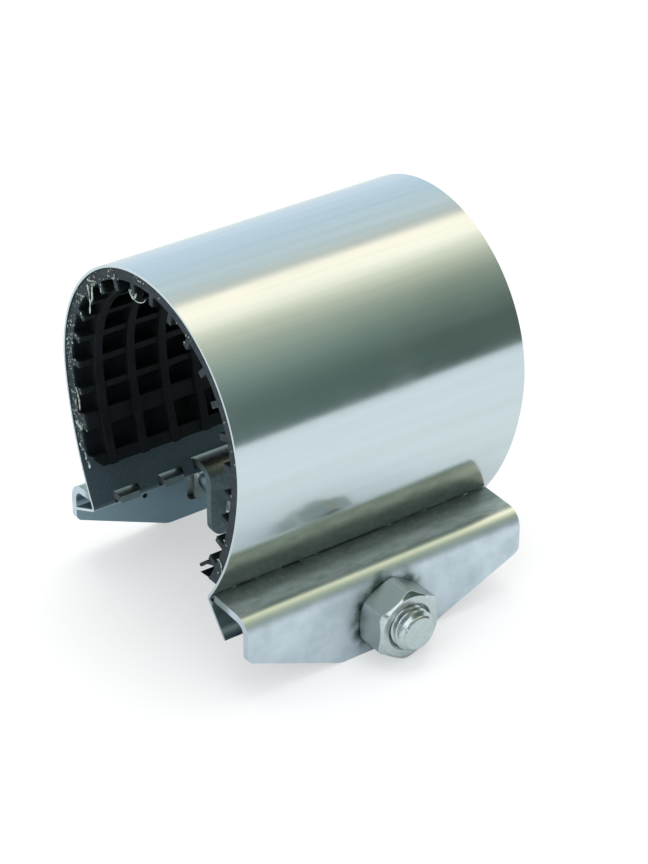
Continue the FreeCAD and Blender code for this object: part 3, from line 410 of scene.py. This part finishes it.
def helicalSkin(made, first, last, inner, outer, limit):
    # limit gives the least and greatest radius at a place along the bolt
    pitch, spare = thread["pitch"], thread["spareTurns"]
    stations = threadStations()
    lowest, highest = math.floor(first / pitch) - spare, math.ceil(last / pitch) + spare
    columns = []
    for step in range(thread["steps"]):
        turn = step / thread["steps"]
        angle = turn * math.tau
        column = []
        for k in range(lowest, highest):
            for phase in stations:
                x = min(last, max(first, (k + phase + turn) * pitch))
                low, high = limit(x)
                radius = min(high, max(low, threadRadius(x / pitch - turn, inner, outer)))
                column.append(made.verts.new((x * mm, radius * math.cos(angle) * mm,
                                              (thread["drop"] + radius * math.sin(angle)) * mm)))
        columns.append(column)
    for step, column in enumerate(columns):
        following = columns[(step + 1) % len(columns)]
        shift = 0 if step + 1 < len(columns) else len(stations)
        for n in range(len(column) - 1 - shift):
            made.faces.new((column[n], column[n + 1], following[n + shift + 1], following[n + shift]))


# The bolt: cup head, flat-sided neck, plain shank and a rolled thread

def ringOf(made, x, points):
    return [made.verts.new((x * mm, y * mm, (thread["drop"] + z) * mm)) for y, z in points]


def roundPoints(radius):
    count = thread["steps"]
    return [(radius * math.cos(math.tau * n / count), radius * math.sin(math.tau * n / count))
            for n in range(count)]


def neckPoints(wide, tall, corner, parts):
    outline = []
    for side, (cy, cz) in enumerate(((1, 1), (-1, 1), (-1, -1), (1, -1))):
        for n in range(parts + 1):
            angle = math.pi / 2 * (side + n / parts)
            outline.append((cy * (wide - corner) + corner * math.cos(angle),
                            cz * (tall - corner) + corner * math.sin(angle)))
    return outline


def makeBolt():
    bolt = {"under": -35.0, "tip": 47.5, "headRadius": 8.8, "headHeight": 5.0, "headEdge": 0.1,
            "headRings": 12, "headCentre": 0.3, "shank": 4.55, "threadStart": -18.0, "runOut": 2.0,
            "tipRadius": 3.85, "tipRim": 0.5, "neckHalves": (5.2, 4.95), "neckRound": 1.0,
            "neckParts": 6, "neckLength": 2.2}
    made = bmesh.new()
    under, radius, height, shank = (bolt[name] for name in ("under", "headRadius", "headHeight", "shank"))
    ball = (radius ** 2 + height ** 2) / (2 * height)
    count, centre = bolt["headRings"], bolt["headCentre"]
    rings = []
    for n in range(count + 1):
        reach = radius * math.sin(math.pi / 2 * (n + centre) / (count + centre))
        depth = height - ball + math.sqrt(ball ** 2 - reach ** 2)
        rings.append(ringOf(made, under - max(depth, 0), roundPoints(reach)))
    runOutStart = bolt["threadStart"] - bolt["runOut"]
    for x, reach in ((under, radius - bolt["headEdge"]), (under, shank), (runOutStart, shank)):
        rings.append(ringOf(made, x, roundPoints(reach)))
    for first, second in zip(rings, rings[1:]):
        bridge(made, first, second)
    made.faces.new(rings[0])

    def limit(x):
        grown = min(1, max(0, (x - bolt["threadStart"] + bolt["runOut"]) / bolt["runOut"]))
        low, high = (shank + (end - shank) * grown for end in (thread["root"], thread["crest"]))
        cone = bolt["tipRadius"] + (bolt["tip"] - x)
        return min(low, cone), min(high, cone)

    helicalSkin(made, runOutStart, bolt["tip"], thread["root"], thread["crest"], limit)
    rim = ringOf(made, bolt["tip"], roundPoints(bolt["tipRadius"]))
    inner = ringOf(made, bolt["tip"], roundPoints(bolt["tipRadius"] - bolt["tipRim"]))
    bridge(made, rim, inner)
    made.faces.new(inner)

    outline = neckPoints(*bolt["neckHalves"], bolt["neckRound"], bolt["neckParts"])
    neck = [ringOf(made, under + x, outline) for x in (0, bolt["neckLength"])]
    bridge(made, *neck)
    made.faces.new(neck[1])
    made.faces.new(neck[0])
    piece = asPiece("carriage_bolt", finished(made, "carriage_bolt"), "bolt", boltSteel)
    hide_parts("bolt")


# The nut: hexagon with turned chamfers at both ends, and an inner thread that follows the bolt's

def makeNut():
    nut = {"start": 36.0, "height": 8.0, "flats": 15.8, "face": 7.4, "slope": 30, "turned": -2,
           "corner": 0.35, "inner": 4.28, "outer": 5.02, "sink": 5.8, "worn": 0.2, "wornFrom": 7.35,
           "steps": 144, "segments": 2, "smoothBelow": 25}
    made = bmesh.new()
    slope = math.tan(math.radians(nut["slope"]))
    start, end = nut["start"], nut["start"] + nut["height"]
    walls = []
    for n in range(nut["steps"]):
        turn = math.tau * n / nut["steps"]
        local = (turn + math.pi / 6) % (math.pi / 3) - math.pi / 6
        reach = nut["flats"] / 2 / math.cos(local)
        reach = min(reach, nut["flats"] / math.sqrt(3) - nut["corner"])
        walls.append((turn + math.radians(nut["turned"]), reach))

    def wallRing(x, radii, pushed):
        # pushed is 1 or -1 where the chamfer meets the flats and corners, each at its own depth
        return [made.verts.new(((x + pushed * (reach - nut["face"]) * slope) * mm, r * math.cos(a) * mm,
                                (thread["drop"] + r * math.sin(a)) * mm))
                for (a, reach), r in zip(walls, radii)]

    mouth, face = [nut["sink"]] * len(walls), [nut["face"]] * len(walls)
    wall = [reach for _, reach in walls]
    rings = [wallRing(*ring) for ring in ((start, mouth, 0), (start, face, 0), (start, wall, 1),
                                          (end, wall, -1), (end, face, 0), (end, mouth, 0))]
    for first, second in zip(rings, rings[1:]):
        bridge(made, first, second)

    def limit(x):
        cone = nut["sink"] - min(x - start, end - x)
        return max(nut["inner"], cone), max(nut["outer"], cone)

    helicalSkin(made, start, end, nut["inner"], nut["outer"], limit)
    mesh = finished(made, "hexagon_nut", nut["smoothBelow"])
    piece = asPiece("hexagon_nut", mesh, "nut", nutSteel)
    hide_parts("nut")
    outside = piece.vertex_groups.new(name="outside")
    outside.add([v.index for v in mesh.vertices
                 if math.hypot(v.co.y, v.co.z - thread["drop"] * mm) > nut["wornFrom"] * mm], 1.0, "REPLACE")
    edges = piece.modifiers.new("worn_edges", "BEVEL")
    edges.limit_method = "VGROUP"
    edges.vertex_group = "outside"
    edges.width = nut["worn"] * mm
    edges.segments = nut["segments"]
    edges.harden_normals = True


makeBolt()
makeNut()
print("fasteners made")


# Flecks of adhesive on the mat's front edge, thicker up the anchor's side

def flecksTree(material):
    form = {"ahead": -0.9, "patches": {"Detail": 3.0}, "patchy": span(0.46, 0.62),
            "anchor": span(0.010, -0.024), "share": result(0.12, 1.0), "centre": (0.5, 0.5, 0.5),
            "fleck": {"Radius": 1.0, "Subdivisions": 2}, "torn": {"Scale": 2500.0, "Detail": 2.0}}
    tree = bpy.data.node_groups.new("flecks", "GeometryNodeTree")
    sockets = tree.interface
    sockets.new_socket("Mat", in_out="INPUT", socket_type="NodeSocketGeometry")
    for name, kind in (("Density", "Float"), ("Front", "Float"), ("Patch", "Float"), ("Least", "Vector"),
                       ("Greatest", "Vector"), ("Ragged", "Float"), ("Seed", "Int")):
        sockets.new_socket(name, in_out="INPUT", socket_type="NodeSocket" + kind)
    sockets.new_socket("Flecks", in_out="OUTPUT", socket_type="NodeSocketGeometry")
    given = addNode(tree, "NodeGroupInput", (-8, 0)).outputs
    place = addNode(tree, "GeometryNodeInputPosition", (-8, 3))
    parts = addNode(tree, "ShaderNodeSeparateXYZ", (-7, 3), {"Vector": place}).outputs
    normal = addNode(tree, "GeometryNodeInputNormal", (-8, 5))
    turned = addNode(tree, "ShaderNodeSeparateXYZ", (-7, 5), {"Vector": normal}).outputs
    ahead = addNode(tree, "ShaderNodeMath", (-6, 5), {0: turned["Y"], 1: form["ahead"]},
                    operation="LESS_THAN")
    front = addNode(tree, "ShaderNodeMath", (-6, 3), {0: parts["Y"], 1: given["Front"]},
                    operation="LESS_THAN")
    chosen = addNode(tree, "ShaderNodeMath", (-5, 4), {0: ahead, 1: front}, operation="MULTIPLY")
    edge = addNode(tree, "GeometryNodeSeparateGeometry", (-4, 0), {
        "Geometry": given["Mat"], "Selection": chosen}, domain="FACE")
    patches = addNode(tree, "ShaderNodeTexNoise", (-5, 7), {
        "Vector": place, "Scale": given["Patch"], **form["patches"]})
    patchy = addNode(tree, "ShaderNodeMapRange", (-4, 7), {"Value": patches, **form["patchy"]})
    towards = addNode(tree, "ShaderNodeMapRange", (-4, 9), {
        "Value": parts["X"], **form["anchor"], **form["share"]})
    share = addNode(tree, "ShaderNodeMath", (-3, 7), {0: patchy, 1: towards}, operation="MULTIPLY")
    density = addNode(tree, "ShaderNodeMath", (-2, 7), {0: share, 1: given["Density"]},
                      operation="MULTIPLY")
    points = addNode(tree, "GeometryNodeDistributePointsOnFaces", (-1, 0), {
        "Mesh": edge, "Density": density, "Seed": given["Seed"]})
    fleck = addNode(tree, "GeometryNodeMeshIcoSphere", (-1, -3), form["fleck"])
    turn = addNode(tree, "FunctionNodeRandomValue", (-1, 3), {
        "Min": (0, 0, 0), "Max": (0, math.tau, 0), "Seed": given["Seed"]}, data_type="FLOAT_VECTOR")
    size = addNode(tree, "FunctionNodeRandomValue", (-1, 5), {
        "Min": given["Least"], "Max": given["Greatest"], "Seed": given["Seed"]}, data_type="FLOAT_VECTOR")
    laid = addNode(tree, "GeometryNodeInstanceOnPoints", (1, 0), {
        "Points": points, "Instance": fleck, "Rotation": turn, "Scale": size})
    solid = addNode(tree, "GeometryNodeRealizeInstances", (2, 0), {"Geometry": laid})
    rough = addNode(tree, "ShaderNodeTexNoise", (1, 4), form["torn"]).outputs["Color"]
    shift = addNode(tree, "ShaderNodeVectorMath", (2, 4), {0: rough, 1: form["centre"]},
                    operation="SUBTRACT")
    sized = addNode(tree, "ShaderNodeVectorMath", (3, 4), {0: shift, "Scale": given["Ragged"]},
                    operation="SCALE")
    torn = addNode(tree, "GeometryNodeSetPosition", (4, 0), {"Geometry": solid, "Offset": sized})
    soft = addNode(tree, "GeometryNodeSetShadeSmooth", (5, 0), {"Geometry": torn})
    dressed = addNode(tree, "GeometryNodeSetMaterial", (6, 0), {"Geometry": soft, "Material": material})
    addNode(tree, "NodeGroupOutput", (7, 0), {"Flecks": dressed})
    return tree


def makeFlecks():
    flecks = {"Density": 2.4e6, "Front": -0.0376, "Patch": 260.0, "Least": (0.00006, 0.00004, 0.00008),
              "Greatest": (0.00022, 0.00007, 0.00044), "Ragged": 0.00022, "Seed": 11}
    carrier = bpy.data.objects.new("flecks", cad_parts["gasket"].data.copy())
    bpy.context.scene.collection.objects.link(carrier)
    scatter = carrier.modifiers.new("flecks", "NODES")
    scatter.node_group = flecksTree(dryGlue)
    for item in scatter.node_group.interface.items_tree:
        if item.name in flecks:
            scatter[item.identifier] = flecks[item.name]
    laid = carrier.evaluated_get(bpy.context.evaluated_depsgraph_get())
    mesh = bpy.data.meshes.new_from_object(laid)
    carrier.modifiers.clear()
    bpy.data.objects.remove(carrier)
    asPiece("glue_flecks", mesh, "clamp", dryGlue)


# Strings of adhesive drawn across the mat's front edge, and the flap torn from a rib by the nut.
# Each runs through points across and up the front, with its half width at each

def smoothRun(points, parts=6):
    ends = [points[0]] + points + [points[-1]]
    run = []
    for a, b, c, d in zip(ends, ends[1:], ends[2:], ends[3:]):
        for k in range(parts):
            t = k / parts
            run.append([0.5 * (2 * q + (r - p) * t + (2 * p - 5 * q + 4 * r - s) * t ** 2
                               + (3 * q - p - 3 * r + s) * t ** 3) for p, q, r, s in zip(a, b, c, d)])
    return run + [list(points[-1])]


def addStrand(made, points, depth, thick, sides, square):
    # square is 1 for an oval section, and less for one with fuller corners
    rings = []
    run = smoothRun(points)
    for n, (x, z, wide) in enumerate(run):
        before, after = run[max(n - 1, 0)], run[min(n + 1, len(run) - 1)]
        along = Vector((after[0] - before[0], 0, after[1] - before[1])).normalized()
        across = Vector((-along.z, 0, along.x))
        ring = []
        for k in range(sides):
            angle = math.tau * (k + 0.5) / sides
            c, s = (math.copysign(abs(v) ** square, v) for v in (math.cos(angle), math.sin(angle)))
            spot = Vector((x, depth, z)) + across * (c * wide) + Vector((0, s * thick, 0))
            ring.append(made.verts.new(spot * mm))
        rings.append(ring)
    for first, second in zip(rings, rings[1:]):
        bridge(made, first, second)
    made.faces.new(rings[0])
    made.faces.new(rings[-1])


def makeStrands():
    strands = {"depth": -37.8, "thick": 0.13, "sides": 8, "square": 1.0, "smoothBelow": 60, "lines": [
        [(-23.2, 22.6, 0.08), (-22.7, 21.6, 0.25), (-22.3, 20.0, 0.16), (-22.1, 18.6, 0.12)],
        [(-20.8, 24.0, 0.10), (-21.2, 21.9, 0.30), (-21.2, 19.9, 0.26), (-22.1, 18.4, 0.16),
         (-22.3, 17.0, 0.26), (-22.4, 15.8, 0.16)],
        [(-22.9, 24.0, 0.12), (-21.6, 24.1, 0.22), (-20.6, 24.6, 0.08)],
        [(-11.7, 30.0, 0.08), (-11.8, 28.8, 0.2)],
        [(-17.5, 24.3, 0.08), (-17.4, 23.2, 0.14)],
        [(-6.0, 28.9, 0.22), (-5.3, 27.9, 0.28), (-4.2, 27.5, 0.42), (-3.1, 29.0, 0.16)],
        [(-4.4, 27.3, 0.16), (-2.8, 27.2, 0.12), (-1.3, 27.7, 0.13), (-0.2, 28.4, 0.11), (0.5, 29.3, 0.08)],
        [(-29.9, -6.2, 0.10), (-29.3, -7.7, 0.3), (-28.8, -9.2, 0.32), (-28.6, -11.5, 0.1)],
        [(-30.3, -15.3, 0.15), (-29.2, -15.8, 0.6), (-28.0, -16.3, 0.2)],
        [(-29.4, -20.6, 0.30), (-28.6, -21.2, 0.2), (-27.5, -21.4, 0.1)],
        [(-27.4, -21.9, 0.14), (-26.9, -22.6, 0.34), (-26.9, -23.6, 0.2)],
        [(-26.3, -23.7, 0.2), (-25.6, -24.4, 0.45), (-25.7, -25.2, 0.3)],
        [(28.1, -15.8, 0.13), (28.6, -15.9, 0.08)],
        [(25.5, -22.1, 0.12), (26.2, -22.0, 0.3), (26.9, -22.6, 0.16), (27.2, -24.6, 0.06)]]}
    made = bmesh.new()
    for line in strands["lines"]:
        addStrand(made, line, *(strands[name] for name in ("depth", "thick", "sides", "square")))
    mesh = finished(made, "glue_strands", strands["smoothBelow"])
    asPiece("glue_strands", mesh, "clamp", dryGlue)


def makeFlap():
    flap = {"depth": -36.2, "thick": 0.75, "sides": 12, "square": 0.5, "smoothBelow": 40,
            "line": [(25.4, -24.4, 0.55), (22.4, -25.4, 0.45), (19.9, -26.4, 0.43),
                     (18.4, -27.5, 0.42), (17.5, -28.3, 0.42)]}
    made = bmesh.new()
    addStrand(made, flap["line"], *(flap[name] for name in ("depth", "thick", "sides", "square")))
    mesh = finished(made, "torn_flap", flap["smoothBelow"])
    asPiece("torn_flap", mesh, "clamp", matRubber)


makeFlecks()
makeStrands()
makeFlap()
print("mat's marks made")


# Camera at the photo's viewpoint

def placeCamera():
    shot = {"place": (0.42387, -0.30282, 0.29803), "azimuth": 53.68, "elevation": 31.12, "roll": 0.337,
            "lens": 113.24, "sensor": 36, "clip": (0.01, 20)}
    azimuth, elevation, roll = (math.radians(shot[k]) for k in ("azimuth", "elevation", "roll"))
    back = Vector((math.sin(azimuth) * math.cos(elevation), -math.cos(azimuth) * math.cos(elevation),
                   math.sin(elevation)))
    level = Vector((math.cos(azimuth), math.sin(azimuth), 0))
    above = back.cross(level)
    right = math.cos(roll) * level + math.sin(roll) * above
    up = -math.sin(roll) * level + math.cos(roll) * above
    data = bpy.data.cameras.new("camera")
    data.lens = shot["lens"]
    data.sensor_width = shot["sensor"]
    data.clip_start, data.clip_end = shot["clip"]
    camera = bpy.data.objects.new("camera", data)
    bpy.context.scene.collection.objects.link(camera)
    turn = Matrix((right, up, back)).transposed()
    camera.matrix_world = Matrix.Translation(shot["place"]) @ turn.to_4x4()
    bpy.context.scene.camera = camera


placeCamera()


# Studio: pale floor, a white room, and what the bright steel mirrors

def makeFloor():
    # lighter is how much plain white the camera sees mixed into the floor
    floor = {"size": 1.3, "colour": "fafafa", "mirrored": "d0dadc", "plain": "ffffff", "lighter": 0.45,
             "finish": {"Roughness": 0.9, "Specular IOR Level": 0.0}}
    made = bmesh.new()
    half, z = floor["size"] / 2, cadLow.z
    made.faces.new([made.verts.new((x * half, y * half, z)) for x, y in ((-1, -1), (1, -1), (1, 1), (-1, 1))])
    mesh = bpy.data.meshes.new("floor")
    made.to_mesh(mesh)
    made.free()
    piece = bpy.data.objects.new("floor", mesh)
    bpy.context.scene.collection.objects.link(piece)
    material = bpy.data.materials.new("painted_table")
    material.use_nodes = True
    tree = material.node_tree
    tree.nodes.clear()
    path = addNode(tree, "ShaderNodeLightPath", (0, 0)).outputs
    colour = addNode(tree, "ShaderNodeMix", (2, 0), {
        "Factor": path["Is Glossy Ray"], "A": linear(floor["colour"]), "B": linear(floor["mirrored"])},
        **asColour)
    paint = addNode(tree, "ShaderNodeBsdfPrincipled", (4, 0), {"Base Color": colour, **floor["finish"]})
    plain = addNode(tree, "ShaderNodeEmission", (4, 2), {"Color": linear(floor["plain"])})
    share = addNode(tree, "ShaderNodeMath", (3, 3), {0: path["Is Camera Ray"], 1: floor["lighter"]},
                    operation="MULTIPLY")
    shown = addNode(tree, "ShaderNodeMixShader", (5, 1), {0: share, 1: paint, 2: plain})
    addNode(tree, "ShaderNodeOutputMaterial", (6, 1), {"Surface": shown})
    mesh.materials.append(material)


def makeRoom():
    # The mirrored tones run round the pipe's direction, in degrees from straight up towards the nut. Dusk
    # dulls what the band's rear mirrors on the nut's side, and ahead is the blue grey high up in front
    room = {"tones": [(-180, "cfd8dc"), (-120, "d6dee4"), (-93, "bfcfda"), (-60, "b2c6d1"), (-33, "b6c4c5"),
                      (-20, "b4b8b0"), (-15, "fef6e0"), (0, "f9f3e1"), (8, "d8dcc6"), (18, "b6baa7"),
                      (32, "95a395"), (50, "71847d"), (70, "52645f"), (94, "526562"), (97, "a3adad"),
                      (120, "c3ced0"), (150, "c7d5d6"), (180, "cfd8dc")],
            "lift": 1.38, "soft": "f1f5f8", "white": "ffffff", "dusk": "dcdbd2",
            "duskRear": span(0.47, 0.57), "duskStart": span(0.2, 0.7), "duskEnd": span(1.66, 1.60),
            "ahead": "b0c2cc", "aheadFront": span(-0.22, -0.36), "aheadUp": span(0.3, 0.5)}
    world = bpy.data.worlds.new("room")
    bpy.context.scene.world = world
    world.use_nodes = True
    tree = world.node_tree
    tree.nodes.clear()
    direction = addNode(tree, "ShaderNodeTexCoord", (-6, 0)).outputs["Generated"]
    parts = addNode(tree, "ShaderNodeSeparateXYZ", (-5, 0), {"Vector": direction}).outputs
    angle = addNode(tree, "ShaderNodeMath", (-4, 0), {0: parts["X"], 1: parts["Z"]}, operation="ARCTAN2")
    turn = addNode(tree, "ShaderNodeMapRange", (-3, 0), {"Value": angle, **span(-math.pi, math.pi)})
    stops = [((degrees + 180) / 360, brighter(tone, room["lift"])) for degrees, tone in room["tones"]]
    mirrored = addNode(tree, "ShaderNodeValToRGB", (-2, 0), {"Fac": turn}, stops)
    measures = {"duskRear": parts["Y"], "duskStart": angle, "duskEnd": angle, "aheadFront": parts["Y"],
                "aheadUp": parts["Z"]}
    steps = {name: addNode(tree, "ShaderNodeMapRange", (-3, -n - 2), {"Value": value, **room[name]},
                           **softStep) for n, (name, value) in enumerate(measures.items())}
    dusk = addNode(tree, "ShaderNodeMath", (-2, -2), {0: steps["duskRear"], 1: steps["duskStart"]},
                   operation="MULTIPLY")
    dusk = addNode(tree, "ShaderNodeMath", (-1, -2), {0: dusk, 1: steps["duskEnd"]}, operation="MULTIPLY")
    mirrored = addNode(tree, "ShaderNodeMix", (0, -2), {
        "Factor": dusk, "A": mirrored, "B": linear(room["dusk"])}, blend_type="MULTIPLY", **asColour)
    ahead = addNode(tree, "ShaderNodeMath", (0, -4), {0: steps["aheadFront"], 1: steps["aheadUp"]},
                    operation="MULTIPLY")
    mirrored = addNode(tree, "ShaderNodeMix", (1, -3), {
        "Factor": ahead, "A": mirrored, "B": linear(room["ahead"])}, **asColour)
    soft, glossy, white = (
        addNode(tree, "ShaderNodeBackground", (2, 1 - n), {"Color": colour, "Strength": 1.0})
        for n, colour in enumerate((linear(room["soft"]), mirrored, linear(room["white"]))))
    path = addNode(tree, "ShaderNodeLightPath", (2, 2)).outputs
    around = addNode(tree, "ShaderNodeMixShader", (3, 0), {0: path["Is Glossy Ray"], 1: soft, 2: glossy})
    seen = addNode(tree, "ShaderNodeMixShader", (4, 0), {0: path["Is Camera Ray"], 1: around, 2: white})
    addNode(tree, "ShaderNodeOutputWorld", (5, 0), {"Surface": seen})


def addSoftbox(name, box):
    data = bpy.data.lights.new(name, "AREA")
    data.shape = "SQUARE"
    data.size = box["size"]
    data.energy = box["power"]
    data.color = linear(box["colour"])[:3]
    lamp = bpy.data.objects.new(name, data)
    bpy.context.scene.collection.objects.link(lamp)
    away = Vector(box["place"]) - Vector(box["aim"])
    turn = away.to_track_quat("Z", "Y").to_matrix().to_4x4()
    lamp.matrix_world = Matrix.Translation(box["place"]) @ turn
    lamp.visible_glossy = box["mirrored"]


# The softbox at the side brightens the nut's chamfers

softboxes = {
    "softbox_above": {"place": (-0.15, 0.1, 0.9), "aim": (0, 0, -0.02), "size": 0.7, "power": 4.0,
                      "colour": "fffaf0", "mirrored": False},
    "softbox_side": {"place": (0.85, 0.03, 0.18), "aim": (0.04, 0, -0.0444), "size": 0.44, "power": 0.75,
                     "colour": "f4f6ff", "mirrored": True},
    "softbox_front": {"place": (0.5, -0.9, 0.5), "aim": (0, 0, -0.02), "size": 0.6, "power": 2.0,
                      "colour": "f2f7ff", "mirrored": True}}

makeFloor()
makeRoom()
for name, box in softboxes.items():
    addSoftbox(name, box)
print("studio set")
